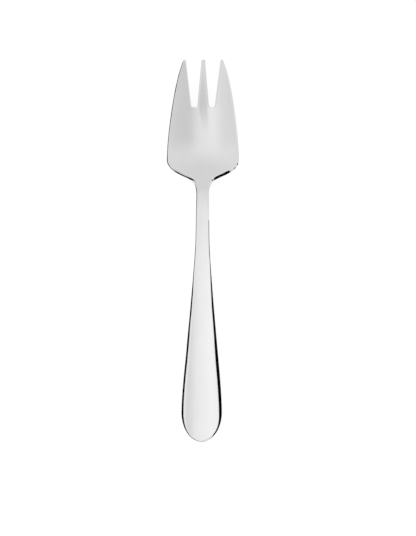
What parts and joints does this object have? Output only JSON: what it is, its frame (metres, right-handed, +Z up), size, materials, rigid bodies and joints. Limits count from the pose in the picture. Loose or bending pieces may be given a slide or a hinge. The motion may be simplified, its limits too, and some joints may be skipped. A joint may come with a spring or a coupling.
{
  "type": "buffet fork",
  "caption": "One-piece polished steel buffet fork with a broad rounded grip, arched slim neck and wide hollowed head split into tapering tines, for lifting and serving food.",
  "frame": {"origin": "middle of the fork's length and width, at the height of the table that it lies on", "axes": "+Y along the fork from the grip to the tines, +X across it to the right seen from above, +Z up out of its hollow face"},
  "size_m": [0.0472, 0.2499, 0.0194],
  "materials": {
    "polished_steel": "polished"
  },
  "bodies": {
    "root": {"fork": "polished_steel"}
  },
  "joints": []
}
